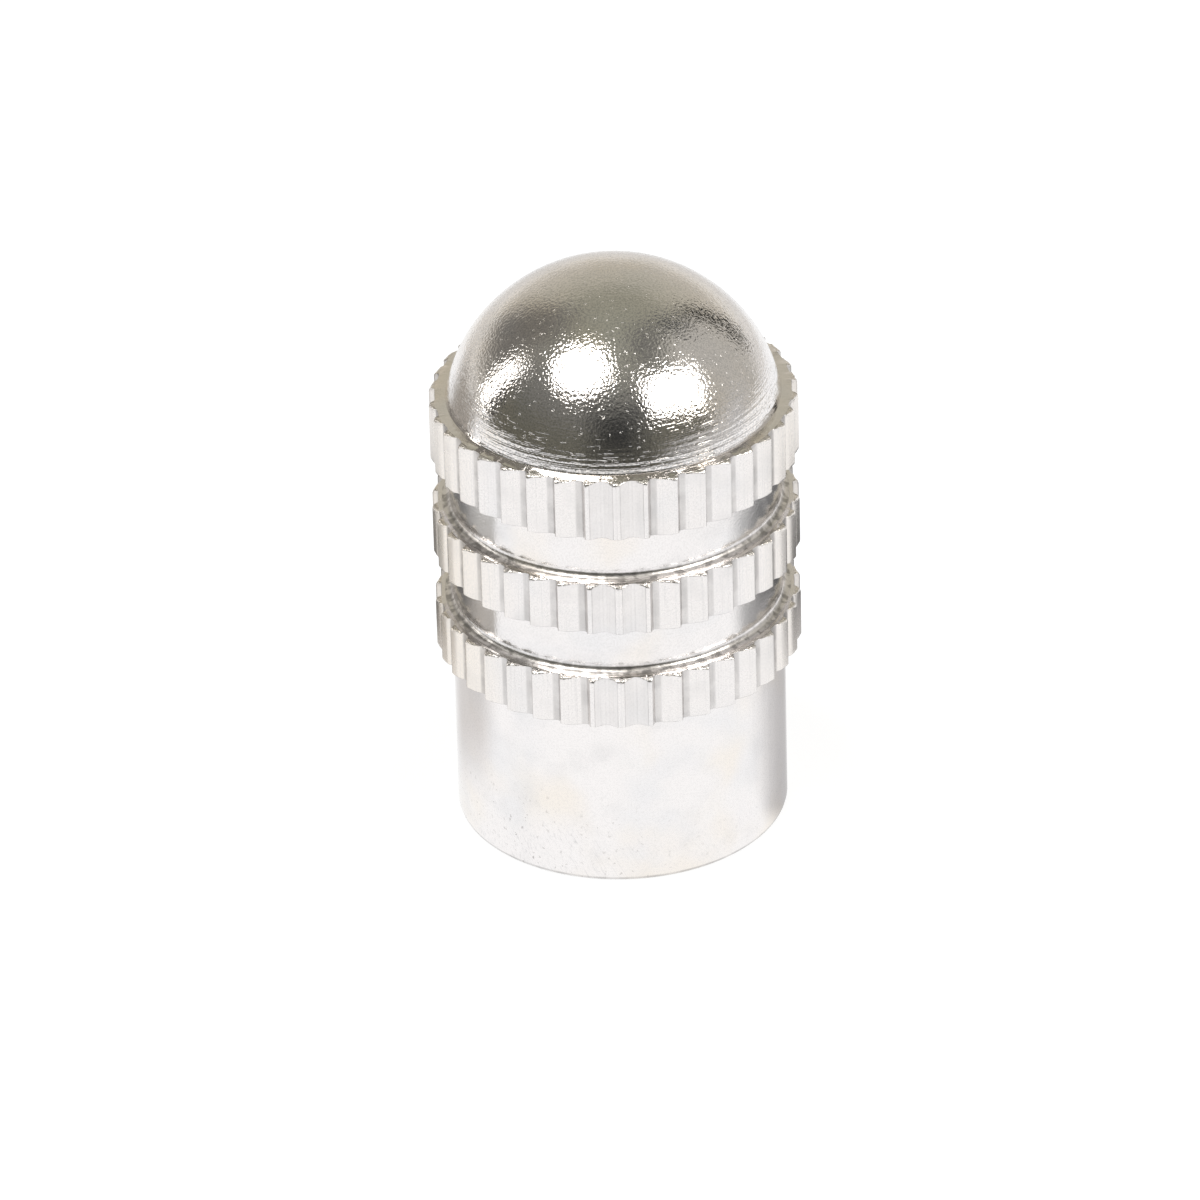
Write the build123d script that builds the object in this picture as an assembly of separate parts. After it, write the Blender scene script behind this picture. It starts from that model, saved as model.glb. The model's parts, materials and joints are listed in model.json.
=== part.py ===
"""Metal tyre valve cap: a domed cap with toothed bands, turned from bar, and a sealing washer inside.

The cap stands on its open rim. The origin is the centre of the rim, +Z runs along the axis to the dome, and
the front is -Y.
All sizes are in millimetres.
"""

import math
import os

from build123d import *

# Thread of the valve stem, which sets the inside: the bore is plain at the crests of its inner thread
thread_major_diameter = 7.8
thread_depth = 0.45
thread_length = 7.9

# Skirt and the plain grooves between the bands
skirt_wall = 0.65
skirt_height = 5.2
rim_edge_chamfer = 0.08
groove_undercut = 0.05
groove_height = 1.45
groove_corner_radius = 0.08

# Toothed bands, from the skirt up to the dome
band_rise = 0.45
band_height = 1.5
top_band_height = 1.75
band_edge_chamfer = 0.07

# Straight teeth, pressed into all the bands at once by two half dies that close along X. The dies meet at two
# seams, front and back, so each tooth has its steep side turned away from the nearest seam.
tooth_count = 38
tooth_depth = 0.18
steep_side_width = 0.14
seam_side_width = 0.3
root_width = 0.14
tip_overshoot = 0.015

# Dome, a part of a sphere that stands on the top band inside a narrow ledge
ledge_width = 0.45
dome_height = 3.62

# Relief behind the thread, with the washer on its end wall
relief_clearance = 0.05
washer_thickness = 1.2
washer_hole_diameter = 3.0
washer_clearance = 0.1
washer_snap_room = 0.3

# Recess in the end wall for the pin of the valve, left by a pointed drill
pin_recess_clearance = 0.2
pin_recess_depth = 0.9
drill_point_angle = 118.0

# Radii that follow from these
bore_radius = thread_major_diameter / 2 - thread_depth
mouth_radius = thread_major_diameter / 2
relief_radius = mouth_radius + relief_clearance
washer_radius = relief_radius - washer_clearance
recess_radius = washer_hole_diameter / 2 + pin_recess_clearance
skirt_radius = mouth_radius + skirt_wall
groove_radius = skirt_radius - groove_undercut
band_radius = skirt_radius + band_rise
foot_radius = band_radius - ledge_width
dome_radius = (foot_radius**2 + dome_height**2) / (2 * dome_height)

# Levels along the axis, outside and inside
low_band_bottom = skirt_height
low_band_top = low_band_bottom + band_height
middle_band_bottom = low_band_top + groove_height
middle_band_top = middle_band_bottom + band_height
top_band_bottom = middle_band_top + groove_height
ledge_level = top_band_bottom + top_band_height
dome_top = ledge_level + dome_height
dome_centre_level = dome_top - dome_radius

mouth_chamfer = thread_depth
relief_bottom = mouth_chamfer + thread_length
washer_bottom = relief_bottom + washer_snap_room
end_wall_level = washer_bottom + washer_thickness
recess_top = end_wall_level + pin_recess_depth
drill_point = recess_top + recess_radius / math.tan(math.radians(drill_point_angle / 2))


def turned_blank():
    """The outside form, revolved from half its outline, still without teeth and bore."""
    fillet = groove_corner_radius
    edge = band_edge_chamfer

    # Half way up the dome's arc, seen from the sphere's centre
    foot_angle = math.asin((ledge_level - dome_centre_level) / dome_radius)
    middle_angle = (foot_angle + math.pi / 2) / 2
    dome_middle = (
        dome_radius * math.cos(middle_angle),
        dome_centre_level + dome_radius * math.sin(middle_angle),
    )

    def band_side(bottom, top):
        """The outer side of a band, with a small chamfer at each edge."""
        Line((band_radius - edge, bottom), (band_radius, bottom + edge))
        Line((band_radius, bottom + edge), (band_radius, top - edge))
        Line((band_radius, top - edge), (band_radius - edge, top))

    def groove(bottom, top):
        """The two faces and the floor of a groove, with the turning tool's fillet in its lower corner."""
        Line((band_radius - edge, bottom), (groove_radius + fillet, bottom))
        RadiusArc((groove_radius + fillet, bottom), (groove_radius, bottom + fillet), fillet)
        Line((groove_radius, bottom + fillet), (groove_radius, top))
        Line((groove_radius, top), (band_radius - edge, top))

    with BuildPart() as blank:
        with BuildSketch(Plane.XZ):
            with BuildLine():
                Line((0, 0), (skirt_radius - rim_edge_chamfer, 0))
                Line((skirt_radius - rim_edge_chamfer, 0), (skirt_radius, rim_edge_chamfer))
                Line((skirt_radius, rim_edge_chamfer), (skirt_radius, low_band_bottom))
                Line((skirt_radius, low_band_bottom), (band_radius - edge, low_band_bottom))
                band_side(low_band_bottom, low_band_top)
                groove(low_band_top, middle_band_bottom)
                band_side(middle_band_bottom, middle_band_top)
                groove(middle_band_top, top_band_bottom)
                band_side(top_band_bottom, ledge_level)
                Line((band_radius - edge, ledge_level), (foot_radius, ledge_level))
                ThreePointArc((foot_radius, ledge_level), dome_middle, (0, dome_top))
                Line((0, dome_top), (0, 0))
            make_face()
        revolve(axis=Axis.Z)
    return blank.part


def gap_sides(middle):
    """Widths of the first and the last side of the gap at this angle, counted from the front seam."""
    pitch = 2 * math.pi / tooth_count
    slow_side_width = pitch * band_radius - root_width - steep_side_width
    from_seam = math.asin(abs(math.sin(middle)))
    if from_seam < pitch:
        return seam_side_width, seam_side_width
    if from_seam > (math.pi - pitch) / 2:
        return steep_side_width, steep_side_width
    if math.sin(2 * middle) > 0:
        return steep_side_width, slow_side_width
    return slow_side_width, steep_side_width


def toothed_bar():
    """A bar whose section is the outline of the teeth, longer than the cap at both ends."""
    pitch = 2 * math.pi / tooth_count
    # The tips stand a little outside the bands, so each tooth keeps a narrow land of the turned surface
    tip_radius = band_radius + tip_overshoot
    root_radius = band_radius - tooth_depth
    corners = []
    for number in range(tooth_count):
        first_side, last_side = gap_sides((number + 0.5) * pitch)
        tip = number * pitch
        root_start = tip + first_side / band_radius
        root_end = tip + pitch - last_side / band_radius
        for radius, angle in ((tip_radius, tip), (root_radius, root_start), (root_radius, root_end)):
            corners.append((radius * math.sin(angle), -radius * math.cos(angle)))

    with BuildPart() as bar:
        with BuildSketch(Plane.XY.offset(-skirt_height)):
            with BuildLine():
                Polyline(*corners, close=True)
            make_face()
        extrude(amount=dome_top + 2 * skirt_height)
    return bar.part


def threaded_bore():
    """The hollow inside: chamfered mouth, bore, relief, and the pin's recess with its drill point."""
    with BuildPart() as hollow:
        with BuildSketch(Plane.XZ):
            with BuildLine():
                Polyline(
                    (0, 0),
                    (mouth_radius, 0),
                    (bore_radius, mouth_chamfer),
                    (bore_radius, relief_bottom),
                    (relief_radius, relief_bottom),
                    (relief_radius, end_wall_level),
                    (recess_radius, end_wall_level),
                    (recess_radius, recess_top),
                    (0, drill_point),
                    close=True,
                )
            make_face()
        revolve(axis=Axis.Z)
    return hollow.part


def cap_shell():
    """The turned cap with its teeth and its blind bore, one piece of brass."""
    with BuildPart() as shell:
        add(turned_blank())
        add(toothed_bar(), mode=Mode.INTERSECT)
        add(threaded_bore(), mode=Mode.SUBTRACT)
    return shell.part


def sealing_washer():
    """The rubber ring that lies on the end wall of the relief."""
    with BuildPart() as washer:
        with BuildSketch(Plane.XY.offset(washer_bottom)):
            Circle(washer_radius)
            Circle(washer_hole_diameter / 2, mode=Mode.SUBTRACT)
        extrude(amount=washer_thickness)
    return washer.part


os.makedirs("parts", exist_ok=True)
export_step(cap_shell(), "parts/cap_shell.step")
export_step(sealing_washer(), "parts/sealing_washer.step")
print(f"diameter {2 * band_radius:.2f}, height {dome_top:.2f}, dome radius {dome_radius:.2f}")
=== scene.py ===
import json
import math
import random

import bpy
from mathutils import Matrix, Quaternion, Vector


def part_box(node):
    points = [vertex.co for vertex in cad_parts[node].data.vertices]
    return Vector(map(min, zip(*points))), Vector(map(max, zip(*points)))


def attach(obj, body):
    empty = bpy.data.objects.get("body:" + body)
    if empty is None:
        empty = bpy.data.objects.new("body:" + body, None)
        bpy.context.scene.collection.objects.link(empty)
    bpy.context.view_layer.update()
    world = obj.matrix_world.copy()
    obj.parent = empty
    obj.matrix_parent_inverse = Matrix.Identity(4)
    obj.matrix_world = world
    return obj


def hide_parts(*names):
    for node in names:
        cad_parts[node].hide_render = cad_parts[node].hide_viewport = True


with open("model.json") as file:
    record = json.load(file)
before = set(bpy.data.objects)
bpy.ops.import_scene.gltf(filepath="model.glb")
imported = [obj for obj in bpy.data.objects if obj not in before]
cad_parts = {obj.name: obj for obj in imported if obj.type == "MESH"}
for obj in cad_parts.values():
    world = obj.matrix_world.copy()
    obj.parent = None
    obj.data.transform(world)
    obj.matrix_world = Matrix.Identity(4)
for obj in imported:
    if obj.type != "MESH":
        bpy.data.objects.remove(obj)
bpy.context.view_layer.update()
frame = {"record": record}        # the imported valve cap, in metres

mm = 0.001
micrometre = 0.001 * mm
scene = bpy.context.scene
scene.view_settings.view_transform = "Standard"
mounts = {mount["name"]: mount for mount in frame["record"]["mounts"]}
shellLow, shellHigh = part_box("cap_shell")
washerLow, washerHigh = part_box("sealing_washer")
print("frame loaded, cap is", round(shellHigh[2] / mm, 2), "mm high")


# helpers for every node tree
def put(tree, kind, inputs=None, **settings):
    node = tree.nodes.new(kind)
    for name, value in settings.items():
        setattr(node, name, value)
    for name, value in (inputs or {}).items():
        if isinstance(value, bpy.types.NodeSocket):
            tree.links.new(value, node.inputs[name])
        else:
            node.inputs[name].default_value = value
    return node


def calc(tree, operation, *values):
    return put(tree, "ShaderNodeMath", dict(enumerate(values)), operation=operation).outputs[0]


def calcVector(tree, operation, inputs):
    return put(tree, "ShaderNodeVectorMath", inputs, operation=operation).outputs


def separate(tree, vector):
    return put(tree, "ShaderNodeSeparateXYZ", {0: vector}).outputs


def blendValue(tree, share, first, second):
    gap = calc(tree, "SUBTRACT", second, first)
    return calc(tree, "MULTIPLY_ADD", share, gap, first)


def ramp(tree, value, low, high, fromValue=0.0, toValue=1.0):
    inputs = {"Value": value, "From Min": low, "From Max": high, "To Min": fromValue, "To Max": toValue}
    node = put(tree, "ShaderNodeMapRange", inputs, interpolation_type="SMOOTHSTEP")
    return node.outputs["Result"]


# the sockets of a colour mix share their names with other kinds of mix, so they go by number
def mixColour(tree, share, first, second):
    inputs = {0: share, 6: first, 7: second}
    return put(tree, "ShaderNodeMix", inputs, data_type="RGBA", clamp_factor=True).outputs[2]


def rgb(red, green, blue):
    return (red, green, blue, 1.0)


pureWhite = rgb(1.0, 1.0, 1.0)

# shader groups that several finishes share
grainLook = {
    "lumpDetail": 1.0,
    "pitLeast": 0.12,        # width of the smallest pit, as a share of the pits' spacing
    "pitSpread": 0.22,       # how much wider the widest one is
    "stainDetail": 2.5,
}


def groupTree(name, inputs, outputs):
    tree = bpy.data.node_groups.new(name, "ShaderNodeTree")
    for label, kind in inputs:
        tree.interface.new_socket(label, in_out="INPUT", socket_type="NodeSocket" + kind)
    for label in outputs:
        tree.interface.new_socket(label, in_out="OUTPUT", socket_type="NodeSocketFloat")
    return tree, put(tree, "NodeGroupInput").outputs, put(tree, "NodeGroupOutput")


# fine lumps and scattered pits of a surface, sizes in metres
def fineGrainGroup():
    look = grainLook
    inputs = (("Vector", "Vector"), ("Lump size", "Float"), ("Pit spacing", "Float"), ("Pits", "Float"))
    tree, given, result = groupTree("fineGrain", inputs, ("Lumps", "Pits"))
    lumpScale = calc(tree, "DIVIDE", 1.0, given["Lump size"])
    lumpInputs = {"Vector": given["Vector"], "Scale": lumpScale, "Detail": look["lumpDetail"]}
    lumps = put(tree, "ShaderNodeTexNoise", lumpInputs).outputs
    # pits lie in a few cells only, and the lumps' colours bend them out of round
    swirl = calcVector(tree, "SUBTRACT", {0: lumps["Color"], 1: (0.5, 0.5, 0.5)})[0]
    swirl = calcVector(tree, "SCALE", {0: swirl, "Scale": given["Pit spacing"]})[0]
    bent = calcVector(tree, "ADD", {0: given["Vector"], 1: swirl})[0]
    pitScale = calc(tree, "DIVIDE", 1.0, given["Pit spacing"])
    cells = put(tree, "ShaderNodeTexVoronoi", {"Vector": bent, "Scale": pitScale}, feature="F1").outputs
    lottery = put(tree, "ShaderNodeSeparateColor", {"Color": cells["Color"]}).outputs
    chosen = calc(tree, "LESS_THAN", lottery["Red"], given["Pits"])
    width = calc(tree, "MULTIPLY_ADD", lottery["Green"], look["pitSpread"], look["pitLeast"])
    depth = calc(tree, "SUBTRACT", 1.0, calc(tree, "DIVIDE", cells["Distance"], width))
    pits = calc(tree, "MULTIPLY", calc(tree, "MAXIMUM", depth, 0.0), chosen)
    tree.links.new(calc(tree, "SUBTRACT", lumps["Fac"], 0.5), result.inputs["Lumps"])
    tree.links.new(calc(tree, "SQRT", pits), result.inputs["Pits"])
    return tree


# broad soft stains, size is the width of one stain in metres
def stainGroup():
    inputs = (("Vector", "Vector"), ("Size", "Float"), ("Low", "Float"), ("High", "Float"))
    tree, given, result = groupTree("softStain", inputs, ("Stain",))
    scale = calc(tree, "DIVIDE", 1.0, given["Size"])
    noiseInputs = {"Vector": given["Vector"], "Scale": scale, "Detail": grainLook["stainDetail"]}
    noise = put(tree, "ShaderNodeTexNoise", noiseInputs).outputs["Fac"]
    stain = ramp(tree, noise, given["Low"], given["High"])
    tree.links.new(stain, result.inputs["Stain"])
    return tree


fineGrain = fineGrainGroup()
softStain = stainGroup()


def useGrain(tree, place, lumpSize, pitSpacing, pits):
    inputs = {"Vector": place, "Lump size": lumpSize, "Pit spacing": pitSpacing, "Pits": pits}
    return put(tree, "ShaderNodeGroup", inputs, node_tree=fineGrain).outputs


def useStain(tree, place, size, low, high):
    inputs = {"Vector": place, "Size": size, "Low": low, "High": high}
    return put(tree, "ShaderNodeGroup", inputs, node_tree=softStain).outputs["Stain"]


def newMaterial(name):
    material = bpy.data.materials.new(name)
    material.use_nodes = True
    tree = material.node_tree
    tree.nodes.clear()
    output = put(tree, "ShaderNodeOutputMaterial")
    return material, tree, output


# joins a finish up; its height is in micrometres
def setSurface(tree, output, height, inputs):
    bump = put(tree, "ShaderNodeBump", {"Height": height, "Strength": 1.0, "Distance": micrometre})
    inputs = dict(inputs, Normal=bump.outputs["Normal"])
    shader = put(tree, "ShaderNodeBsdfPrincipled", inputs)
    tree.links.new(shader.outputs["BSDF"], output.inputs["Surface"])


# bright nickel on brass, as on the outside of the cap; heights in micrometres; each stain has its width and
# where in its noise it starts and is full; pairs without a note are for plain turned surfaces and the dome
nickelLook = {
    "plain": rgb(0.955, 0.928, 0.92),
    "cool": rgb(0.895, 0.884, 0.89),
    "warm": rgb(0.955, 0.89, 0.81),
    "grey": rgb(0.66, 0.655, 0.66),
    "speck": rgb(0.34, 0.325, 0.31),
    # colour of the painted shade and grime between the teeth, in the grooves' corners, under the bands and at
    # the rim
    "grime": rgb(0.36, 0.35, 0.345),
    "domeStart": 0.02 * mm,             # above the ledge
    "dullness": (0.10, 0.09),
    "landDullness": 0.27,
    "greyDullness": 0.05,
    "shadeAndGrimeDullness": 0.25,
    "grooveDullness": 0.07,
    "coolStain": (1.9 * mm, 0.48, 0.72),
    "coolShare": 0.9,
    "warmStain": (2.6 * mm, 0.48, 0.72),
    "warmShare": 0.8,
    "stainTurn": math.radians(31.7),
    "stainLift": 1.6 * mm,
    "warmSheenSide": (-2.6 * mm, -3.8 * mm),  # painted warm reflection: lands get warmer, and are warm, this far to the left
    "warmSheenZone": (11.4 * mm, 10.6 * mm),  # and from these levels down
    "warmSheenLand": 0.4,
    "greyStain": (1.1 * mm, 0.48, 0.80),
    "greyShare": 0.22,
    "lumpSize": 0.078 * mm,
    "lumpHeight": (2.2, 11.0),
    "pitSpacing": 0.15 * mm,
    "pits": 0.36,
    "pitDepth": (0.5, 6.0),
    "speckleSize": 0.045 * mm,
    "speckleDetail": 1.0,
    "speckleRange": (0.42, 0.66),       # where in its noise a mark starts, and is full
    "speckleShare": (0.20, 0.65),
    "ringZone": (1.9 * mm, 0.35 * mm),  # above the ledge: the turned rings start, and are full
    "ringSpacing": 0.075 * mm,
    "ringLength": 9.0 * mm,
    "ringDetail": 3.0,
    "ringHeight": 11.0,
    "ringCalm": 0.6,                    # how much lower the lumps are among the rings
    "dashSpacing": 0.06 * mm,
    "dashLength": 0.45 * mm,
    "dashDetail": 1.0,
    "dashRange": (0.58, 0.72),
    "dashHeight": 3.0,
    "burrSize": 0.09 * mm,
    "burrHeight": 32.0,
    "markDetail": 2.0,                  # of streaks and scratches
    "streakWidth": 0.045 * mm,
    "streakLength": 2.5 * mm,
    "streakRange": (0.5, 0.75),
    "streakShare": 0.22,
    "markedSide": (1.6 * mm, -2.0 * mm),  # specks and scratches start, and are full, this far to the left
    "leastMarked": 0.25,                # what is left of them at the right
    "markedZone": (3.6 * mm, 0.4 * mm),  # and the levels where they start, and are full
    "speckSpacing": 0.15 * mm,
    "speckLump": 0.08 * mm,
    "specks": 0.42,
    "speckCluster": (2.0 * mm, 0.36, 0.60),
    "clusterShare": (0.5, 1.0),         # outside a cluster, and in it
    "scratchWidth": 0.045 * mm,
    "scratchLength": 1.3 * mm,
    "scratchTilt": 28.0,                # degrees from the axis
    "scratchRange": (0.56, 0.70),
    "scratchShare": 0.45,
    "gapPatches": (0.5 * mm, 0.35, 0.65),
    "gapShare": (0.65, 1.15),           # of the painted shade and grime between teeth, outside a patch and in it
    "cornerPatches": (0.25 * mm, 0.42, 0.62),
    "cornerShare": (0.15, 1.5),         # of the painted shade and grime in a groove's corner
}


# noise drawn out along the cap's axis or round it; tilt leans it over, in degrees
def drawnNoise(tree, place, across, along, detail, tilt=0.0):
    if tilt:
        place = put(tree, "ShaderNodeVectorRotate", {"Vector": place, "Angle": math.radians(tilt)},
                    rotation_type="Y_AXIS").outputs["Vector"]
    scale = (1.0 / across, 1.0 / across, 1.0 / along)
    moved = put(tree, "ShaderNodeMapping", {"Vector": place, "Scale": scale}).outputs["Vector"]
    return put(tree, "ShaderNodeTexNoise", {"Vector": moved, "Scale": 1.0, "Detail": detail}).outputs["Fac"]


def attribute(tree, name):
    return put(tree, "ShaderNodeAttribute", attribute_name=name).outputs["Fac"]


def nickelColour(tree, place, mark, dome, grey):
    look = nickelLook
    axes = separate(tree, place)

    # soft stains; the warm ones' noise is turned and lifted so that the warmest lies low at the front left
    cool = useStain(tree, place, *look["coolStain"])
    colour = mixColour(tree, calc(tree, "MULTIPLY", cool, look["coolShare"]), look["plain"], look["cool"])
    turned = put(tree, "ShaderNodeMapping", {"Vector": place, "Rotation": (0.0, 0.0, look["stainTurn"]),
                                             "Location": (0.0, 0.0, look["stainLift"])}).outputs["Vector"]
    warm = useStain(tree, turned, *look["warmStain"])
    # the lands of the teeth have a tone each instead, warmer low at the left as a painted warm reflection,
    # and fine streaks
    warmSheenLeft = calc(tree, "MULTIPLY", ramp(tree, axes["X"], *look["warmSheenSide"]),
                    ramp(tree, axes["Z"], *look["warmSheenZone"]))
    landToneAndSheen = calc(tree, "MULTIPLY_ADD", warmSheenLeft, look["warmSheenLand"], mark["tone"])
    warmShare = blendValue(tree, mark["band"], calc(tree, "MULTIPLY", warm, look["warmShare"]), landToneAndSheen)
    colour = mixColour(tree, warmShare, colour, look["warm"])
    colour = mixColour(tree, calc(tree, "MULTIPLY", grey, look["greyShare"]), colour, look["grey"])
    streaks = drawnNoise(tree, place, look["streakWidth"], look["streakLength"], look["markDetail"])
    streaks = calc(tree, "MULTIPLY", ramp(tree, streaks, *look["streakRange"]), mark["band"])
    colour = mixColour(tree, calc(tree, "MULTIPLY", streaks, look["streakShare"]), colour, look["grey"])

    # specks and scratches low on the skirt, most of them at the left
    marked = calc(tree, "MULTIPLY", ramp(tree, axes["X"], *look["markedSide"], look["leastMarked"], 1.0),
                  ramp(tree, axes["Z"], *look["markedZone"]))
    cluster = useStain(tree, place, *look["speckCluster"])
    clustered = calc(tree, "MULTIPLY", marked, blendValue(tree, cluster, *look["clusterShare"]))
    specks = useGrain(tree, place, look["speckLump"], look["speckSpacing"], look["specks"])["Pits"]
    colour = mixColour(tree, calc(tree, "MULTIPLY", specks, clustered), colour, look["speck"])
    scratches = drawnNoise(tree, place, look["scratchWidth"], look["scratchLength"], look["markDetail"],
                           look["scratchTilt"])
    scratches = calc(tree, "MULTIPLY", ramp(tree, scratches, *look["scratchRange"]), marked)
    colour = mixColour(tree, calc(tree, "MULTIPLY", scratches, look["scratchShare"]), colour, look["grey"])

    # fine speckle all over, and painted shade with grime between the teeth, in the corners of the grooves,
    # under the bands and at the rim
    speckleInputs = {"Vector": place, "Scale": 1.0 / look["speckleSize"], "Detail": look["speckleDetail"]}
    speckle = put(tree, "ShaderNodeTexNoise", speckleInputs).outputs["Fac"]
    speckleShare = calc(tree, "MULTIPLY", ramp(tree, speckle, *look["speckleRange"]),
                        blendValue(tree, dome, *look["speckleShare"]))
    colour = mixColour(tree, speckleShare, colour, look["grey"])
    inGaps = blendValue(tree, useStain(tree, place, *look["gapPatches"]), *look["gapShare"])
    inCorners = blendValue(tree, useStain(tree, place, *look["cornerPatches"]), *look["cornerShare"])
    shadeAndGrimeShare = calc(tree, "MULTIPLY", mark["grime"], blendValue(tree, mark["groove"], inGaps, inCorners))
    return mixColour(tree, shadeAndGrimeShare, colour, look["grime"])


def nickelHeight(tree, place, mark, dome, aboveLedge):
    look = nickelLook
    ringShare = calc(tree, "MULTIPLY", ramp(tree, aboveLedge, *look["ringZone"]), dome)
    grain = useGrain(tree, place, look["lumpSize"], look["pitSpacing"], look["pits"])
    lumps = calc(tree, "MULTIPLY", grain["Lumps"], blendValue(tree, dome, *look["lumpHeight"]))
    height = calc(tree, "MULTIPLY", lumps, calc(tree, "MULTIPLY_ADD", ringShare, -look["ringCalm"], 1.0))
    pits = calc(tree, "MULTIPLY", grain["Pits"], blendValue(tree, dome, *look["pitDepth"]))
    height = calc(tree, "SUBTRACT", height, pits)
    # turned rings near the foot of the dome, some broken up into dashes
    rings = drawnNoise(tree, place, look["ringLength"], look["ringSpacing"], look["ringDetail"])
    rings = calc(tree, "MULTIPLY", rings, ringShare)
    height = calc(tree, "MULTIPLY_ADD", rings, look["ringHeight"], height)
    dashes = drawnNoise(tree, place, look["dashLength"], look["dashSpacing"], look["dashDetail"])
    dashes = calc(tree, "MULTIPLY", ramp(tree, dashes, *look["dashRange"]), ringShare)
    height = calc(tree, "MULTIPLY_ADD", dashes, look["dashHeight"], height)
    burrs = put(tree, "ShaderNodeTexNoise", {"Vector": place, "Scale": 1.0 / look["burrSize"]}).outputs["Fac"]
    burrs = calc(tree, "MULTIPLY", burrs, mark["burr"])
    return calc(tree, "MULTIPLY_ADD", burrs, look["burrHeight"], height)


def nickelMaterial(ledgeLevel):
    look = nickelLook
    material, tree, output = newMaterial("nickelPlate")
    place = put(tree, "ShaderNodeTexCoord").outputs["Object"]
    mark = {name: attribute(tree, name) for name in ("band", "tone", "grime", "burr", "groove")}
    aboveLedge = calc(tree, "SUBTRACT", separate(tree, place)["Z"], ledgeLevel)
    dome = calc(tree, "GREATER_THAN", aboveLedge, look["domeStart"])
    grey = useStain(tree, place, *look["greyStain"])
    colour = nickelColour(tree, place, mark, dome, grey)
    height = nickelHeight(tree, place, mark, dome, aboveLedge)
    rough = blendValue(tree, dome, *look["dullness"])
    rough = blendValue(tree, mark["band"], rough, look["landDullness"])
    rough = calc(tree, "MULTIPLY_ADD", grey, look["greyDullness"], rough)
    rough = calc(tree, "MULTIPLY_ADD", mark["grime"], look["shadeAndGrimeDullness"], rough)
    rough = calc(tree, "MULTIPLY_ADD", mark["groove"], look["grooveDullness"], rough)
    setSurface(tree, output, height, {"Base Color": colour, "Metallic": 1.0, "Roughness": rough})
    return material


# thin plating inside the bore, where the brass warms it
boreLook = {
    "plate": rgb(0.72, 0.68, 0.60),
    "brass": rgb(0.70, 0.56, 0.33),
    "brassStain": (2.2 * mm, 0.4, 0.8),
    "dullness": 0.24,
    "brassDullness": 0.1,
    "lumpSize": 0.09 * mm,
    "lumpHeight": 10.0,
    "pit": rgb(0.2, 0.17, 0.13),
    "pitSpacing": 0.3 * mm,
    "pits": 0.3,
    "pitShare": 0.5,
}


def boreMaterial():
    look = boreLook
    material, tree, output = newMaterial("borePlate")
    place = put(tree, "ShaderNodeTexCoord").outputs["Object"]
    brass = useStain(tree, place, *look["brassStain"])
    grain = useGrain(tree, place, look["lumpSize"], look["pitSpacing"], look["pits"])
    colour = mixColour(tree, brass, look["plate"], look["brass"])
    colour = mixColour(tree, calc(tree, "MULTIPLY", grain["Pits"], look["pitShare"]), colour, look["pit"])
    height = calc(tree, "MULTIPLY", grain["Lumps"], look["lumpHeight"])
    rough = calc(tree, "MULTIPLY_ADD", brass, look["brassDullness"], look["dullness"])
    setSurface(tree, output, height, {"Base Color": colour, "Metallic": 1.0, "Roughness": rough})
    return material


# matt black rubber of the washer
rubberLook = {
    "rubber": rgb(0.018, 0.018, 0.019),
    "dust": rgb(0.085, 0.08, 0.075),
    "dustStain": (0.9 * mm, 0.45, 0.9),
    "dullness": (0.55, 0.8),     # clean, and dusty
    "lumpSize": 0.12 * mm,
    "lumpHeight": 24.0,
    "pitSpacing": 0.35 * mm,
    "pits": 0.25,
    "pitDepth": 15.0,
}


def rubberMaterial():
    look = rubberLook
    material, tree, output = newMaterial("washerRubber")
    place = put(tree, "ShaderNodeTexCoord").outputs["Object"]
    dust = useStain(tree, place, *look["dustStain"])
    grain = useGrain(tree, place, look["lumpSize"], look["pitSpacing"], look["pits"])
    colour = mixColour(tree, dust, look["rubber"], look["dust"])
    height = calc(tree, "MULTIPLY", grain["Lumps"], look["lumpHeight"])
    height = calc(tree, "MULTIPLY_ADD", grain["Pits"], -look["pitDepth"], height)
    rough = ramp(tree, dust, 0.0, 1.0, *look["dullness"])
    setSurface(tree, output, height, {"Base Color": colour, "Roughness": rough})
    return material


turning = {
    "burrLevel": 0.62,           # noise above this level leaves the edge uncut
    "burrDetail": 1.0,
    "burrSeed": 7.0,
    "mergeDistance": 0.0001 * mm,
    "sharpAngle": math.radians(46.0),
    "insideFrom": 0.99,          # faces whose inside mark is above this have the inner material
}
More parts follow.
